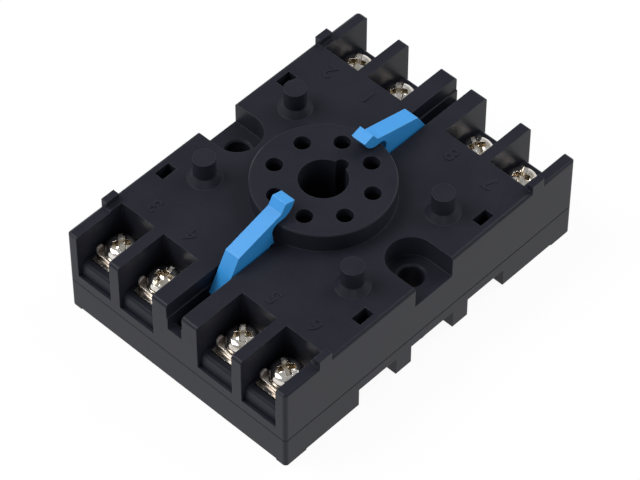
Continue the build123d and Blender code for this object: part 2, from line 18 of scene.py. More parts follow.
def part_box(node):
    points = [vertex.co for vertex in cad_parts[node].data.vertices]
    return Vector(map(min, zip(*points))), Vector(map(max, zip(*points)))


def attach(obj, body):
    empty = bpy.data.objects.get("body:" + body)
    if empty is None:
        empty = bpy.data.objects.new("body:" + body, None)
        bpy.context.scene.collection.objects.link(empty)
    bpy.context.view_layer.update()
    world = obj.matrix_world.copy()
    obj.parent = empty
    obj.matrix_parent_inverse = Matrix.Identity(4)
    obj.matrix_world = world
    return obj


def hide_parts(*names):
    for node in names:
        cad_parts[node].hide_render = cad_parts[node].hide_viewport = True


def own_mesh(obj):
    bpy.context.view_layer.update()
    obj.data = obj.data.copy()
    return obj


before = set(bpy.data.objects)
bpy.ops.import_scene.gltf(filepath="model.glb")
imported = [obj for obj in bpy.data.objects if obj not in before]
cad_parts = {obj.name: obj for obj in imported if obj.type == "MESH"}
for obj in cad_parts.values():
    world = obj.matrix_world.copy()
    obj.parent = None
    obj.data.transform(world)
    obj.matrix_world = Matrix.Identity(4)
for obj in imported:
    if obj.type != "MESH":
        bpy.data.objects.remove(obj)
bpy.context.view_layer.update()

LOG = logging.getLogger("relay_socket")
Point = tuple[float, float, float]
Item = bmesh.types.BMFace | bmesh.types.BMEdge

# One millimetre in metres
MM = 0.001
# Points closer than this are merged
MERGE_MM = 0.0005
# Heights closer than this count as one
NEAR_MM = 0.01
# How far a cutting tool reaches past a screw's head
PAST_MM = 1.0
# Foot and top of a tool that goes right through a washer
THROUGH_MM = (-1.0, 2.0)
# A face is level when at least this share of its normal points up or down
LEVEL = 0.99
# Edges sharper than this are rounded, and the others smoothed
SHARP_DEG = 32.0
# Rays that find an edge, and those that find a recess
EDGE_SAMPLES = 6
RECESS_SAMPLES = 8


class End(Enum):
    """The two ends of the socket, as the sign of Y."""

    REAR = 1
    FRONT = -1


class Body(Enum):
    """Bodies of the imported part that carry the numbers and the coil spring."""

    SOCKET = "socket"
    LATCH = "rail_latch"


class Select(Enum):
    """What is selected in edit mode."""

    FACES = "FACE"
    EDGES = "EDGE"


class Shaping(Enum):
    """What a tool does to a piece."""

    CUT = "DIFFERENCE"
    JOIN = "UNION"


def linear(colour: str) -> tuple[float, float, float, float]:
    """Turns an sRGB hex colour into linear RGBA.

    Args:
        colour: Six hex digits after a hash sign.

    Returns:
        The linear colour with an alpha of 1.
    """
    parts = [int(colour[i:i + 2], 16) / 255 for i in (1, 3, 5)]
    red, green, blue = (c / 12.92 if c <= 0.04045 else ((c + 0.055) / 1.055) ** 2.4 for c in parts)
    return (red, green, blue, 1.0)


def node(
    tree: bpy.types.NodeTree,
    kind: str,
    values: dict[str | int, object] | None = None,
    links: dict[str | int, bpy.types.NodeSocket] | None = None,
    stops: tuple[tuple[float, str], ...] = (),
    **settings: object,
) -> bpy.types.Node:
    """Adds one node with its settings, values and links.

    Args:
        tree: Node tree that takes the node.
        kind: Blender's node type.
        values: Input values by socket name or number.
        links: Output sockets to join, by input name or number.
        stops: Places and hex colours of the two ends of a colour ramp.
        **settings: Properties of the node.

    Returns:
        The new node.
    """
    made = tree.nodes.new(kind)
    for key, value in settings.items():
        setattr(made, key, value)
    for key, value in (values or {}).items():
        made.inputs[key].default_value = value
    for key, socket in (links or {}).items():
        tree.links.new(socket, made.inputs[key])
    for number, (place, colour) in enumerate(stops):
        made.color_ramp.elements[number].position = place
        made.color_ramp.elements[number].color = linear(colour)
    return made


def new_material(name: str) -> tuple[bpy.types.Material, bpy.types.NodeTree]:
    """Makes an empty node material.

    Args:
        name: The finish's name.

    Returns:
        The material and its empty tree.
    """
    material = bpy.data.materials.new(name)
    material.use_nodes = True
    material.node_tree.nodes.clear()
    return material, material.node_tree


def own_millimetres(tree: bpy.types.NodeTree) -> bpy.types.NodeSocket:
    """Gives a surface its own coordinates in millimetres, so that its patterns take real sizes.

    Args:
        tree: Node tree of the finish.

    Returns:
        The socket with the coordinates.
    """
    place = node(tree, "ShaderNodeTexCoord").outputs["Object"]
    return node(tree, "ShaderNodeMapping", {"Scale": (1 / MM,) * 3}, {"Vector": place}).outputs[0]


@dataclass(frozen=True)
class MouldedPlastic:
    """Injection-moulded thermoplastic with a spark-eroded grain, softened edges and a painted highlight
    along them.

    The real grain is about 0.05 mm across. It is drawn coarser, so that it shows.
    """

    name: str
    colour: str
    shade: str
    edge_highlight_colour: str
    roughness: float
    edge_highlight_strength: float
    rough_spread: float = 0.08
    grain_mm: float = 0.3
    grain_depth_mm: float = 0.012
    grain_strength: float = 0.5
    grain_share: float = 0.45
    patch_mm: float = 9.0
    tint_span: tuple[float, float] = (0.34, 0.66)
    edge_radius_mm: float = 0.14
    highlight_turn: float = 0.8
    specular: float = 0.5
    ior: float = 1.5

    def material(self) -> bpy.types.Material:
        """Builds the node material.

        Returns:
            The finish, ready for a mesh.
        """
        made, tree = new_material(self.name)
        place = own_millimetres(tree)
        grain = node(
            tree, "ShaderNodeTexNoise", {"Scale": 1 / self.grain_mm, "Detail": 3.0, "Roughness": 0.6},
            {"Vector": place},
        ).outputs[0]
        patch = node(
            tree, "ShaderNodeTexNoise", {"Scale": 1 / self.patch_mm, "Detail": 2.0}, {"Vector": place}
        ).outputs[0]
        mixed = node(
            tree, "ShaderNodeMix", {"Factor": self.grain_share}, {2: patch, 3: grain}, data_type="FLOAT"
        ).outputs[0]
        dark, light = self.tint_span
        tint = node(
            tree, "ShaderNodeValToRGB", links={0: mixed}, stops=((dark, self.shade), (light, self.colour))
        ).outputs[0]
        soft = node(
            tree, "ShaderNodeBevel", {"Radius": self.edge_radius_mm * MM}, samples=EDGE_SAMPLES
        ).outputs[0]
        sharp = node(tree, "ShaderNodeNewGeometry").outputs["Normal"]
        # Painted highlight: at edges, where the rounded normal turns from the face's own, the colour is
        # lifted towards a lighter one that stands in for the light the edges catch
        turn = node(
            tree, "ShaderNodeVectorMath", links={0: soft, 1: sharp}, operation="DOT_PRODUCT"
        ).outputs["Value"]
        edge = node(
            tree, "ShaderNodeMapRange",
            {"From Min": 1.0, "From Max": self.highlight_turn, "To Min": 0.0, "To Max": self.edge_highlight_strength},
            {"Value": turn},
        ).outputs[0]
        highlighted_tint = node(
            tree, "ShaderNodeMix", {7: linear(self.edge_highlight_colour)}, {"Factor": edge, 6: tint},
            data_type="RGBA",
        ).outputs[2]
        rough = node(
            tree, "ShaderNodeMapRange",
            {"To Min": self.roughness - self.rough_spread, "To Max": self.roughness + self.rough_spread},
            {"Value": mixed},
        ).outputs[0]
        bump = node(
            tree, "ShaderNodeBump", {"Strength": self.grain_strength, "Distance": self.grain_depth_mm * MM},
            {"Height": grain, "Normal": soft},
        ).outputs[0]
        shader = node(
            tree, "ShaderNodeBsdfPrincipled", {"IOR": self.ior, "Specular IOR Level": self.specular},
            {"Base Color": highlighted_tint, "Roughness": rough, "Normal": bump},
        )
        node(tree, "ShaderNodeOutputMaterial", links={"Surface": shader.outputs[0]})
        return made


@dataclass(frozen=True)
class PlatedMetal:
    """Plating over stamped or turned metal, with scuffs, a faint tarnish and a painted shade in its
    recesses.

    The real scuffs are about 0.05 mm wide. They are drawn coarser, so that they show.
    """

    name: str
    colour: str
    tarnish: str
    roughness: float
    rough_spread: float = 0.08
    scuff_mm: float = 0.35
    scuff_depth_mm: float = 0.012
    scuff_strength: float = 0.35
    patch_mm: float = 1.6
    tint_span: tuple[float, float] = (0.36, 0.6)
    edge_radius_mm: float = 0.08
    # Darker colour painted into recesses as shade, its share, and how far and between which occlusion levels
    # it reaches
    recess_shade_colour: str = "#3a2d1b"
    recess_shade_share: float = 0.85
    recess_mm: float = 0.9
    recess_span: tuple[float, float] = (0.75, 0.25)

    def material(self) -> bpy.types.Material:
        """Builds the node material.

        Returns:
            The finish, ready for a mesh.
        """
        made, tree = new_material(self.name)
        place = own_millimetres(tree)
        scuff = node(
            tree, "ShaderNodeTexNoise", {"Scale": 1 / self.scuff_mm, "Detail": 4.0, "Distortion": 0.4},
            {"Vector": place},
        ).outputs[0]
        patch = node(
            tree, "ShaderNodeTexNoise", {"Scale": 1 / self.patch_mm, "Detail": 2.0}, {"Vector": place}
        ).outputs[0]
        dark, light = self.tint_span
        tint = node(
            tree, "ShaderNodeValToRGB", links={0: patch}, stops=((dark, self.tarnish), (light, self.colour))
        ).outputs[0]
        # Painted shade: where occlusion rays meet nearby metal, in slots, crosses and under edges, the
        # colour is mixed towards a darker one
        open_share = node(
            tree, "ShaderNodeAmbientOcclusion", {"Distance": self.recess_mm * MM}, samples=RECESS_SAMPLES,
            only_local=True,
        ).outputs["AO"]
        lit_level, shaded_level = self.recess_span
        shade_amount = node(
            tree, "ShaderNodeMapRange",
            {"From Min": lit_level, "From Max": shaded_level, "To Min": 0.0, "To Max": self.recess_shade_share},
            {"Value": open_share},
        ).outputs[0]
        shaded_tint = node(
            tree, "ShaderNodeMix", {7: linear(self.recess_shade_colour)}, {"Factor": shade_amount, 6: tint}, data_type="RGBA"
        ).outputs[2]
        rough = node(
            tree, "ShaderNodeMapRange",
            {"To Min": self.roughness - self.rough_spread, "To Max": self.roughness + self.rough_spread},
            {"Value": scuff},
        ).outputs[0]
        soft = node(
            tree, "ShaderNodeBevel", {"Radius": self.edge_radius_mm * MM}, samples=EDGE_SAMPLES
        ).outputs[0]
        bump = node(
            tree, "ShaderNodeBump", {"Strength": self.scuff_strength, "Distance": self.scuff_depth_mm * MM},
            {"Height": scuff, "Normal": soft},
        ).outputs[0]
        shader = node(
            tree, "ShaderNodeBsdfPrincipled", {"Metallic": 1.0},
            {"Base Color": shaded_tint, "Roughness": rough, "Normal": bump},
        )
        node(tree, "ShaderNodeOutputMaterial", links={"Surface": shader.outputs[0]})
        return made


# Glass-filled PBT moulded in a spark-eroded tool: a dull blue-black with a faint grain and a lighter painted
# highlight along its edges
BLACK_PBT = MouldedPlastic(
    "black_pbt_moulded", "#22232b", "#1c1d25", "#454650", roughness=0.38, edge_highlight_strength=0.6, specular=0.12,
)
# Acetal moulded in a polished tool: clear blue, a little glossier than the body, with a lighter painted
# highlight along its edges
BLUE_ACETAL = MouldedPlastic(
    "blue_acetal_moulded", "#318ed4", "#2d89ce", "#66b0e8", roughness=0.36, edge_highlight_strength=0.7,
    rough_spread=0.04, grain_mm=0.4, grain_depth_mm=0.004, edge_radius_mm=0.16,
)
# Bright nickel over turned steel: mirror-like, with the warm cast of nickel and a painted brown shade in its
# recesses
NICKEL = PlatedMetal(
    "nickel_plated_steel", "#e2dfda", "#c6beb2", roughness=0.12, rough_spread=0.05, scuff_mm=0.5,
    scuff_depth_mm=0.03, recess_shade_colour="#9c8e74", recess_shade_share=0.8, recess_mm=1.3,
)
# Barrel-plated washers and plates: the same nickel, duller and greyer, with a painted shade in their hollows
DULL_NICKEL = PlatedMetal(
    "dull_nickel_plate", "#b0aaa3", "#8f877c", roughness=0.17, rough_spread=0.06, edge_radius_mm=0.03,
    recess_shade_colour="#5e5348", recess_shade_share=0.5,
)
# The washers' ears, left as stamped: an even satin grey
SATIN_NICKEL = PlatedMetal(
    "satin_nickel_plate", "#958e8c", "#857e7b", roughness=0.5, rough_spread=0.04, recess_shade_share=0.0,
)
# Tinned spring bronze: darker and yellower than the screws, with a light painted shade in its hollows
TINNED_BRONZE = PlatedMetal("tinned_bronze", "#b4a88e", "#94845f", roughness=0.3, recess_shade_share=0.3)
# Drawn spring wire: grey, with fine scuffs and a dark painted shade between its turns
SPRING_STEEL = PlatedMetal("drawn_spring_steel", "#9a9a9c", "#7f7d7b", roughness=0.28)


def start(add: Callable[..., object], name: str, **size: object) -> bpy.types.Object:
    """Adds a primitive as a new piece, with nothing else selected.

    Args:
        add: The operator that adds the primitive.
        name: The piece's name.
        **size: The operator's settings, in millimetres and radians.

    Returns:
        The new object, with its place in its mesh.
    """
    bpy.ops.object.select_all(action="DESELECT")
    add(**size)
    piece = bpy.context.active_object
    piece.name = name
    bpy.ops.object.transform_apply(location=True, rotation=True, scale=True)
    return piece


def block(name: str, low: Point, high: Point) -> bpy.types.Object:
    """Adds a cube between two corners.

    Args:
        name: The piece's name.
        low: Lowest corner in millimetres.
        high: Highest corner in millimetres.

    Returns:
        The new object.
    """
    middle = [(a + b) / 2 for a, b in zip(low, high)]
    size = [b - a for a, b in zip(low, high)]
    return start(bpy.ops.mesh.primitive_cube_add, name, size=1.0, location=middle, scale=size)


def rod(name: str, radius: float, low: float, high: float, sides: int) -> bpy.types.Object:
    """Adds an upright cylinder on the Z axis.

    Args:
        name: The piece's name.
        radius: Radius in millimetres.
        low: Height of its foot.
        high: Height of its top.
        sides: Sides of the polygon.

    Returns:
        The new object.
    """
    return start(
        bpy.ops.mesh.primitive_cylinder_add, name, vertices=sides, radius=radius, depth=high - low,
        location=(0.0, 0.0, (low + high) / 2),
    )


def activate(piece: bpy.types.Object) -> None:
    """Makes a piece the only selected one.

    Args:
        piece: The piece to work on.
    """
    bpy.ops.object.select_all(action="DESELECT")
    piece.select_set(True)
    bpy.context.view_layer.objects.active = piece


def pick(
    piece: bpy.types.Object, kind: Select, test: Callable[[Item], bool] = lambda item: True
) -> None:
    """Opens a piece in edit mode with only some of its faces or edges selected.

    Args:
        piece: The piece to open.
        kind: Whether faces or edges are selected.
        test: Says which ones.
    """
    activate(piece)
    bpy.ops.object.mode_set(mode="EDIT")
    bpy.ops.mesh.select_mode(type=kind.value)
    bpy.ops.mesh.select_all(action="DESELECT")
    shape = bmesh.from_edit_mesh(piece.data)
    for item in shape.faces if kind is Select.FACES else shape.edges:
        item.select_set(test(item))
    shape.select_flush_mode()
    bmesh.update_edit_mesh(piece.data)


def close_edit() -> None:
    """Goes back to object mode."""
    bpy.ops.object.mode_set(mode="OBJECT")


def modify(piece: bpy.types.Object, kind: str, **settings: object) -> None:
    """Adds one modifier and applies it.

    Args:
        piece: The piece to change.
        kind: Blender's modifier type.
        **settings: Its properties.
    """
    activate(piece)
    modifier = piece.modifiers.new(kind.lower(), kind)
    for key, value in settings.items():
        setattr(modifier, key, value)
    bpy.ops.object.modifier_apply(modifier=modifier.name)


def combine(piece: bpy.types.Object, tool: bpy.types.Object, shaping: Shaping) -> None:
    """Cuts or joins a piece with a tool, and removes the tool.

    Args:
        piece: The piece to change.
        tool: The shape that is cut out or added.
        shaping: Which of the two.
    """
    modify(piece, "BOOLEAN", object=tool, operation=shaping.value, solver="EXACT")
    bpy.data.objects.remove(tool)


def soften(piece: bpy.types.Object, width: float, segments: int = 2) -> None:
    """Rounds the sharp edges of a finished shape and smooths its curved faces.

    Args:
        piece: The piece to finish.
        width: Width of the rounding in millimetres.
        segments: Steps across it.
    """
    sharp = math.radians(SHARP_DEG)
    modify(piece, "WELD", merge_threshold=MERGE_MM)
    modify(
        piece, "BEVEL", width=width, segments=segments, limit_method="ANGLE", angle_limit=sharp,
        use_clamp_overlap=True, harden_normals=False,
    )
    pick(piece, Select.FACES)
    bpy.ops.mesh.remove_doubles(threshold=MERGE_MM)
    bpy.ops.mesh.normals_make_consistent(inside=False)
    close_edit()
    bpy.ops.object.shade_smooth_by_angle(angle=sharp)


def coat(piece: bpy.types.Object, *materials: bpy.types.Material) -> None:
    """Gives a piece these materials and no others.

    Args:
        piece: The piece to dress.
        *materials: Its finishes, in the order of its slots.
    """
    piece.data.materials.clear()
    for material in materials:
        piece.data.materials.append(material)


def dress(names: list[str], material: bpy.types.Material) -> None:
    """Gives CAD nodes a material.

    Args:
        names: Names of the nodes.
        material: The finish that they all take.
    """
    for name in names:
        coat(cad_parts[name], material)
        LOG.info("%s takes %s", name, material.name)


def place_copy(
    model: bpy.types.Object,
    name: str,
    body: str,
    spot: Matrix,
    replaced: tuple[str, ...] = (),
) -> bpy.types.Object:
    """Copies a modelled piece to its place, in metres, and lets it ride on a body.

    Args:
        model: The piece that was modelled at the origin, in millimetres.
        name: Name of the copy.
        body: Body that carries it.
        spot: Its place in millimetres.
        replaced: CAD nodes that it stands for.

    Returns:
        The copy.
    """
    piece = bpy.data.objects.new(name, model.data.copy())
    bpy.context.scene.collection.objects.link(piece)
    piece.data.transform(Matrix.Diagonal((MM, MM, MM, 1.0)) @ spot)
    piece.data.update()
    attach(piece, body)
    if replaced:
        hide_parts(*replaced)
    LOG.info("%s rides on %s", name, body)
    return piece


@dataclass
class Mouldings:
    """The two black mouldings, the rail latch and the blue levers."""

    black: list[str] = field(default_factory=lambda: ["housing", "base", "rail_latch"])
    blue: list[str] = field(default_factory=lambda: ["lever_rear", "lever_front"])

    def build(self) -> None:
        """Dresses the mouldings."""
        dress(self.black, BLACK_PBT.material())
        dress(self.blue, BLUE_ACETAL.material())


@dataclass
class Terminals:
    """The metal parts of the eight poles: plates, contacts, washers and pan head screws."""

    # Places of the screws: inner and outer bay across, then along, and the height of the plates
    bays_mm: tuple[float, float] = (9.05, 18.975)
    screw_mm: float = 28.4
    plate_top_mm: float = 11.6
    # Square washer: thickness, half its side, its edges' rounding, and the radius of the bore
    washer_mm: float = 0.7
    washer_half_mm: float = 3.1
    washer_edge_mm: float = 0.08
    bore_mm: float = 1.9
    # Ear: where it starts along X and Y, its rise and rounding, and where its satin starts
    ear_mm: tuple[float, float] = (2.55, 1.6)
    ear_rise_mm: float = 1.5
    ear_round_mm: float = 0.7
    ear_steps: int = 6
    ear_foot_mm: float = 0.1
    # Split washer: radius, thickness, its edges' rounding, and the gap's width, lean and tool
    spring_radius_mm: float = 2.7
    spring_mm: float = 0.65
    spring_edge_mm: float = 0.05
    gap_mm: float = 0.5
    gap_lean_mm: float = 0.9
    gap_reach_mm: float = 4.0
    ring_sides: int = 56
    # Head: radius, height, the round of its rim, and the crown that rises inside it in steps
    head_radius_mm: float = 2.9
    head_mm: float = 1.95
    head_sides: int = 64
    dome_mm: float = 1.3
    dome_steps: int = 7
    crown_mm: float = 0.3
    crown_sixteenths: tuple[int, ...] = (7, 5, 3)
    screw_edge_mm: float = 0.06
    # Shank: length, core radius, and the tip with how much narrower it ends
    shank_mm: float = 7.0
    core_mm: float = 1.45
    tip_mm: float = 0.4
    tip_share: float = 0.72
    # Thread: crest radius, pitch, where it starts, what it leaves clear, and the ridge's section
    crest_mm: float = 1.74
    pitch_mm: float = 0.6
    thread_foot_mm: float = 0.35
    thread_clear_mm: float = 0.8
    ridge_share: float = 0.52
    ridge_squeeze: float = 0.8
    thread_steps: int = 24
    # Slot: width and depth. Cross: width, length, depth and the narrowing of its floor
    slot_mm: tuple[float, float] = (0.85, 0.7)
    cross_mm: tuple[float, float, float] = (1.55, 4.1, 1.3)
    cross_taper: float = 0.5
    # How the slots of the eight screws happen to stand
    angles_deg: tuple[float, ...] = (134.0, 120.0, 152.0, 110.0, 134.0, 149.0, 100.0, 142.0)

    def thread(self) -> bpy.types.Object:
        """Models the thread's ridge round the shank.

        Returns:
            The ridge, closed at both ends.
        """
        foot = (self.core_mm, 0.0, self.thread_foot_mm - self.shank_mm)
        ridge = start(
            bpy.ops.mesh.primitive_circle_add, "thread", vertices=3, radius=self.pitch_mm * self.ridge_share,
            rotation=(math.radians(90), 0.0, 0.0), location=foot,
        )
        depth = (self.crest_mm - self.core_mm) * 2 / self.pitch_mm
        pick(ridge, Select.EDGES)
        bpy.ops.transform.resize(value=(depth, 1.0, self.ridge_squeeze), center_override=foot)
        close_edit()
        modify(
            ridge, "SCREW", axis="Z", screw_offset=self.pitch_mm, steps=self.thread_steps,
            iterations=int((self.shank_mm - self.thread_clear_mm) / self.pitch_mm),
            render_steps=self.thread_steps, use_merge_vertices=False,
        )
        pick(ridge, Select.EDGES, lambda edge: edge.is_boundary)
        bpy.ops.mesh.edge_face_add()
        close_edit()
        return ridge

    def screw(self) -> bpy.types.Object:
        """Models the screw with its head's underside at the origin.

        Returns:
            The screw model.
        """
        rim = self.head_mm - self.crown_mm
        screw = rod("screw_model", self.head_radius_mm, 0.0, rim, self.head_sides)
        top = rim - NEAR_MM
        pick(screw, Select.EDGES, lambda edge: all(v.co.z > top for v in edge.verts))
        bpy.ops.mesh.bevel(offset=self.dome_mm, segments=self.dome_steps, affect="EDGES")
        close_edit()
        step = (self.head_radius_mm - self.dome_mm) / (len(self.crown_sixteenths) + 1)
        pick(
            screw, Select.FACES,
            lambda face: face.normal.z > LEVEL and face.calc_center_median().z > top,
        )
        for share in self.crown_sixteenths:
            bpy.ops.mesh.inset(thickness=step)
            bpy.ops.transform.translate(value=(0.0, 0.0, self.crown_mm * share / 16))
        close_edit()
        pick(screw, Select.FACES, lambda face: face.normal.z < -LEVEL)
        bpy.ops.mesh.inset(thickness=self.head_radius_mm - self.core_mm)
        for length in (self.tip_mm - self.shank_mm, -self.tip_mm):
            bpy.ops.mesh.extrude_region_move(TRANSFORM_OT_translate={"value": (0.0, 0.0, length)})
        bpy.ops.transform.resize(
            value=(self.tip_share, self.tip_share, 1.0), center_override=(0.0, 0.0, -self.shank_mm)
        )
        close_edit()
        combine(screw, self.cross_tool(), Shaping.CUT)
        combine(screw, self.slot_tool(), Shaping.CUT)
        combine(screw, self.thread(), Shaping.JOIN)
        soften(screw, self.screw_edge_mm)
        return screw

    def cross_tool(self) -> bpy.types.Object:
        """Models the tool that cuts the cross of the recess.

        Returns:
            The tool, with four arms that narrow towards its floor.
        """
        width, length, depth = self.cross_mm
        half, floor = width / 2, self.head_mm - depth
        cross = block("cross_tool", (-half, -half, floor), (half, half, self.head_mm + PAST_MM))
        pick(cross, Select.FACES, lambda face: abs(face.normal.z) < 1 - LEVEL)
        bpy.ops.mesh.extrude_faces_move(
            MESH_OT_extrude_faces_indiv={}, TRANSFORM_OT_shrink_fatten={"value": (length - width) / 2}
        )
        close_edit()
        pick(cross, Select.FACES, lambda face: face.normal.z < -LEVEL)
        bpy.ops.transform.resize(
            value=(self.cross_taper, self.cross_taper, 1.0), center_override=(0.0, 0.0, floor)
        )
        close_edit()
        return cross

    def slot_tool(self) -> bpy.types.Object:
        """Models the tool that cuts the slot of the recess.

        Returns:
            The tool, which reaches past the head on both sides.
        """
        width, depth = self.slot_mm
        half, reach = width / 2, self.head_radius_mm + PAST_MM
        return block(
            "slot_tool", (-half, -reach, self.head_mm - depth), (half, reach, self.head_mm + PAST_MM)
        )

    def bore(self, washer: bpy.types.Object) -> None:
        """Bores a washer for the screw's shank.

        Args:
            washer: The washer model.
        """
        combine(washer, rod("bore_tool", self.bore_mm, *THROUGH_MM, self.ring_sides), Shaping.CUT)

    def spring_washer(self) -> bpy.types.Object:
        """Models the split spring washer with its foot at the origin.

        Returns:
            The split washer model.
        """
        ring = rod("spring_washer_model", self.spring_radius_mm, 0.0, self.spring_mm, self.ring_sides)
        self.bore(ring)
        low, high = THROUGH_MM
        half = self.gap_mm / 2
        gap = block("gap_tool", (-half, 0.0, low), (half, self.gap_reach_mm, high))
        pick(gap, Select.FACES, lambda face: face.normal.z > LEVEL)
        bpy.ops.transform.translate(value=(self.gap_lean_mm, 0.0, 0.0))
        close_edit()
        combine(ring, gap, Shaping.CUT)
        soften(ring, self.spring_edge_mm)
        return ring

    def clamp_washer(self) -> bpy.types.Object:
        """Models the square washer with its upturned ear, with its foot at the origin.

        Returns:
            The square washer model.
        """
        half, thick = self.washer_half_mm, self.washer_mm
        inner, near = self.ear_mm
        washer = block("clamp_washer_model", (-half, -half, 0.0), (half, half, thick))
        for place, normal in (((inner, 0, 0), (1, 0, 0)), ((0, near, 0), (0, 1, 0))):
            pick(washer, Select.FACES)
            bpy.ops.mesh.bisect(plane_co=place, plane_no=normal)
            close_edit()
        pick(
            washer, Select.FACES,
            lambda face: face.normal.z > LEVEL and face.calc_center_median().x > inner
            and face.calc_center_median().y > near,
        )
        bpy.ops.mesh.extrude_region_move(TRANSFORM_OT_translate={"value": (0.0, 0.0, self.ear_rise_mm)})
        close_edit()
        top = thick + self.ear_rise_mm - NEAR_MM
        pick(
            washer, Select.EDGES,
            lambda edge: all(v.co.z > top for v in edge.verts)
            and abs(edge.verts[0].co.y - edge.verts[1].co.y) < NEAR_MM,
        )
        bpy.ops.mesh.bevel(offset=self.ear_round_mm, segments=self.ear_steps, affect="EDGES")
        close_edit()
        self.bore(washer)
        soften(washer, self.washer_edge_mm, segments=3)
        return washer

    def dress_washer(self, washer: bpy.types.Object) -> None:
        """Gives the washer its dull plate, and its ear the satin one.

        Args:
            washer: The washer model.
        """
        coat(washer, DULL_NICKEL.material(), SATIN_NICKEL.material())
        for face in washer.data.polygons:
            face.material_index = int(face.center.z > self.washer_mm + self.ear_foot_mm)

    def spots(self) -> list[tuple[int, Matrix]]:
        """Gives each pole's number and the place of its screw, turned with its end.

        Returns:
            Numbers from 1 and matrices in millimetres.
        """
        places = []
        for end in End:
            turn = Matrix.Rotation(0.0 if end is End.REAR else math.pi, 4, "Z")
            for side in (-1, 1):
                for bay in self.bays_mm:
                    shift = Matrix.Translation((side * bay, self.screw_mm, self.plate_top_mm))
                    places.append((len(places) + 1, turn @ shift))
        return places

    def build(self) -> None:
        """Models the hardware once, copies it to the eight poles and dresses plates and contacts."""
        nickel = NICKEL.material()
        washer, ring, screw = self.clamp_washer(), self.spring_washer(), self.screw()
        self.dress_washer(washer)
        coat(ring, nickel)
        coat(screw, nickel)
        above = Matrix.Translation((0.0, 0.0, self.washer_mm))
        head = Matrix.Translation((0.0, 0.0, self.washer_mm + self.spring_mm))
        for number, spot in self.spots():
            # The model's slot lies along Y, at 90 degrees
            turn = Matrix.Rotation(math.radians(self.angles_deg[number - 1] - 90.0), 4, "Z")
            rider = f"washers_{number}"
            for model, name, body, place, stood_for in (
                (washer, "square_washer", rider, spot, "clamp_washer"),
                (ring, "split_washer", rider, spot @ above @ turn, "spring_washer"),
                (screw, "pan_screw", f"screw_{number}", spot @ head @ turn, "terminal_screw"),
            ):
                place_copy(model, f"{name}_{number}", body, place, (f"{stood_for}_{number}",))
        numbers = range(1, 9)
        dress([f"terminal_{i}" for i in numbers], washer.data.materials[0])
        dress([f"contact_{i}" for i in numbers], TINNED_BRONZE.material())
        for model in (washer, ring, screw):
            bpy.data.objects.remove(model)


@dataclass
class LatchSpring:
    """The coil spring in the rail latch, which rides on the latch."""

    wire_mm: float = 0.2
    wire_sides: int = 12
    turns: int = 5
    steps: int = 28
    smooth_deg: float = 40.0
    travel_mm: float = 2.0
    joint: str = "latch_slide"

    def build(self) -> None:
        """Models the coil from a circle, in the place of its node."""
        low, high = (Vector(corner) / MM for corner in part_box("latch_spring"))
        radius = (high.z - low.z) / 2 - self.wire_mm
        length = high.y - low.y - 2 * self.wire_mm
        coil = start(
            bpy.ops.mesh.primitive_circle_add, "coil_model", vertices=self.wire_sides, radius=self.wire_mm,
            rotation=(math.radians(90), 0.0, 0.0), location=(radius, 0.0, 0.0),
        )
        modify(
            coil, "SCREW", axis="Z", screw_offset=length / self.turns, iterations=self.turns,
            steps=self.steps, render_steps=self.steps, use_merge_vertices=False,
        )
        for side in (-1, 1):
            pick(
                coil, Select.EDGES,
                lambda edge: edge.is_boundary and (edge.verts[0].co.z - length / 2) * side > 0,
            )
            bpy.ops.mesh.edge_face_add()
            close_edit()
        pick(coil, Select.FACES)
        bpy.ops.mesh.normals_make_consistent(inside=False)
        close_edit()
        bpy.ops.object.shade_smooth_by_angle(angle=math.radians(self.smooth_deg))
        coat(coil, SPRING_STEEL.material())
        middle = (low.z + high.z) / 2
        axis = Matrix.Rotation(math.radians(-90), 4, "X")
        spot = Matrix.Translation(((low.x + high.x) / 2, low.y + self.wire_mm, middle)) @ axis
        spring = place_copy(coil, "coil_spring", Body.LATCH.value, spot, ("latch_spring",))
        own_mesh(spring)
        bpy.data.objects.remove(coil)


@dataclass
class Numbers:
    """Raised pole numbers on the top, one beside each bay."""

    height_mm: float = 3.0
    size_share: float = 1.35
    edge_mm: float = 0.03
    top_mm: float = 18.5
    rise_mm: float = 0.12
    sink_mm: float = 0.05
    turn_deg: float = 180.0
    # How far from the middle a number stands, across and along, beside an outer and an inner bay
    outer_mm: tuple[float, float] = (18.4, 21.0)
    inner_mm: tuple[float, float] = (9.5, 21.4)
    # Number, side, end, and whether its bay is an outer one
    poles: tuple[tuple[str, int, End, bool], ...] = (
        ("1", -1, End.REAR, False),
        ("2", -1, End.REAR, True),
        ("3", -1, End.FRONT, True),
        ("4", -1, End.FRONT, False),
        ("5", 1, End.FRONT, False),
        ("6", 1, End.FRONT, True),
        ("7", 1, End.REAR, True),
        ("8", 1, End.REAR, False),
    )

    def build(self) -> None:
        """Models each number from text, to be read from the rear."""
        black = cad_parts["housing"].data.materials[0]
        turn = Matrix.Rotation(math.radians(self.turn_deg), 4, "Z")
        middle = self.top_mm + (self.rise_mm - self.sink_mm) / 2
        for word, side, end, is_outer in self.poles:
            across, along = self.outer_mm if is_outer else self.inner_mm
            bpy.ops.object.select_all(action="DESELECT")
            bpy.ops.object.text_add()
            text = bpy.context.active_object
            text.data.body = word
            text.data.align_x, text.data.align_y = "CENTER", "CENTER"
            text.data.size = self.height_mm * self.size_share
            text.data.extrude = (self.rise_mm + self.sink_mm) / 2
            text.data.bevel_depth = self.edge_mm
            bpy.ops.object.convert(target="MESH")
            coat(text, black)
            spot = Matrix.Translation((side * across, end.value * along, middle)) @ turn
            place_copy(text, f"number_{word}", Body.SOCKET.value, spot)
            bpy.data.objects.remove(text)


@dataclass(frozen=True)
class Lamp:
    """A soft square lamp that points at the object."""

    name: str
    place_mm: Point
    side_mm: float
    watts: float


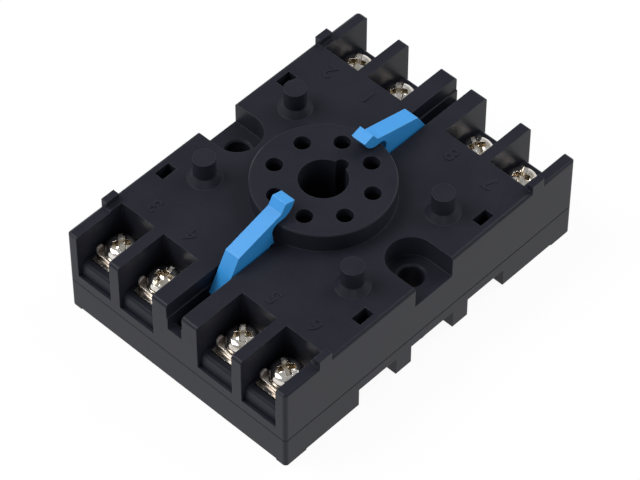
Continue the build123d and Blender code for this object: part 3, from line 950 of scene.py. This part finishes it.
@dataclass
class Studio:
    """Camera, floor, world and lamps."""

    camera_mm: Point = (262.56, -276.28, 454.99)
    look: Point = (-0.4469, 0.4689, -0.7618)
    roll_deg: float = 0.07
    lens_mm: float = 196.3
    sensor_mm: float = 36.0
    clip_m: tuple[float, float] = (0.05, 20.0)
    floor_mm: float = 1600.0
    floor_gap_mm: float = 0.02
    floor_colour: str = "#f2f2f2"
    # Share of the floor that reads as plain white where it is seen
    background: float = 0.94
    # The walls fade into the ceiling between these heights, where level is 0 and overhead is 1
    wall_top: tuple[float, float] = (0.25, 0.5)
    # Brightness of the ceiling against the walls, and the share of both that lights the object
    ceiling: float = 0.44
    wall_light: float = 0.65
    wall_colour: str = "#ffffff"
    # Where the lamps point
    aim_mm: Point = (0.0, 0.0, 10.0)
    lamps: tuple[Lamp, ...] = (
        Lamp("key", (-260.0, -240.0, 480.0), 350.0, 2.85),
        Lamp("front", (450.0, -350.0, 250.0), 300.0, 0.4),
        Lamp("rear", (150.0, 400.0, 400.0), 300.0, 1.6),
    )

    def camera(self) -> None:
        """Adds the camera at the photograph's viewpoint."""
        data = bpy.data.cameras.new("camera")
        data.lens, data.sensor_width = self.lens_mm, self.sensor_mm
        data.clip_start, data.clip_end = self.clip_m
        camera = bpy.data.objects.new("camera", data)
        bpy.context.scene.collection.objects.link(camera)
        turn = Vector(self.look).to_track_quat("-Z", "Y").to_matrix().to_4x4()
        turn = turn @ Matrix.Rotation(math.radians(self.roll_deg), 4, "Z")
        camera.matrix_world = Matrix.Translation(Vector(self.camera_mm) * MM) @ turn
        bpy.context.scene.camera = camera

    def seen(self, tree: bpy.types.NodeTree) -> bpy.types.NodeSocket:
        """Tells the rays that show the background from those that only light the object.

        Args:
            tree: Node tree of the floor or the world.

        Returns:
            A socket that is 1 for camera, glossy and transmission rays.
        """
        ray = node(tree, "ShaderNodeLightPath").outputs
        near = node(
            tree, "ShaderNodeMath", links={0: ray["Is Camera Ray"], 1: ray["Is Glossy Ray"]},
            operation="MAXIMUM",
        ).outputs[0]
        return node(
            tree, "ShaderNodeMath", links={0: near, 1: ray["Is Transmission Ray"]}, operation="MAXIMUM"
        ).outputs[0]

    def floor(self) -> None:
        """Adds a pale floor that reads white to the camera and to reflections."""
        bpy.ops.mesh.primitive_plane_add(size=self.floor_mm * MM)
        floor = bpy.context.active_object
        floor.name = "floor"
        floor.data.transform(Matrix.Translation((0.0, 0.0, -self.floor_gap_mm * MM)))
        made, tree = new_material("pale_floor")
        share = node(
            tree, "ShaderNodeMath", {1: self.background}, {0: self.seen(tree)}, operation="MULTIPLY"
        ).outputs[0]
        paper = node(tree, "ShaderNodeBsdfDiffuse", {"Color": linear(self.floor_colour)}).outputs[0]
        white = node(tree, "ShaderNodeEmission", {"Strength": 1.0}).outputs[0]
        mixed = node(tree, "ShaderNodeMixShader", links={0: share, 1: paper, 2: white}).outputs[0]
        node(tree, "ShaderNodeOutputMaterial", links={"Surface": mixed})
        coat(floor, made)

    def world(self) -> None:
        """Gives the room white walls, which are the background, and a dimmer ceiling."""
        world = bpy.data.worlds.new("room")
        world.use_nodes = True
        tree = world.node_tree
        tree.nodes.clear()
        way = node(tree, "ShaderNodeTexCoord").outputs["Generated"]
        rise = node(tree, "ShaderNodeSeparateXYZ", links={0: way}).outputs["Z"]
        low, high = self.wall_top
        strength = node(
            tree, "ShaderNodeMapRange",
            {"From Min": low, "From Max": high, "To Min": 1.0, "To Max": self.ceiling}, {"Value": rise},
        ).outputs[0]
        share = node(
            tree, "ShaderNodeMapRange", {"To Min": self.wall_light, "To Max": 1.0},
            {"Value": self.seen(tree)},
        ).outputs[0]
        power = node(
            tree, "ShaderNodeMath", links={0: strength, 1: share}, operation="MULTIPLY"
        ).outputs[0]
        room = node(
            tree, "ShaderNodeBackground", {"Color": linear(self.wall_colour)}, {"Strength": power}
        ).outputs[0]
        node(tree, "ShaderNodeOutputWorld", links={"Surface": room})
        bpy.context.scene.world = world

    def light(self, lamp: Lamp) -> None:
        """Adds one lamp.

        Args:
            lamp: Its name, place, side and power.
        """
        data = bpy.data.lights.new(lamp.name, "AREA")
        data.shape, data.size, data.energy = "SQUARE", lamp.side_mm * MM, lamp.watts
        added = bpy.data.objects.new(lamp.name, data)
        bpy.context.scene.collection.objects.link(added)
        added.location = Vector(lamp.place_mm) * MM
        aim = Vector([length * MM for length in self.aim_mm])
        added.rotation_euler = (aim - added.location).to_track_quat("-Z", "Y").to_euler()

    def build(self) -> None:
        """Sets up the whole studio."""
        self.camera()
        self.floor()
        self.world()
        for lamp in self.lamps:
            self.light(lamp)
        bpy.context.scene.view_settings.view_transform = "Standard"


def main() -> None:
    """Builds the pieces in order."""
    logging.basicConfig(level=logging.INFO)
    bpy.ops.object.select_all(action="DESELECT")
    Mouldings().build()
    Terminals().build()
    LatchSpring().build()
    Numbers().build()
    Studio().build()


if __name__ == "__main__":
    main()
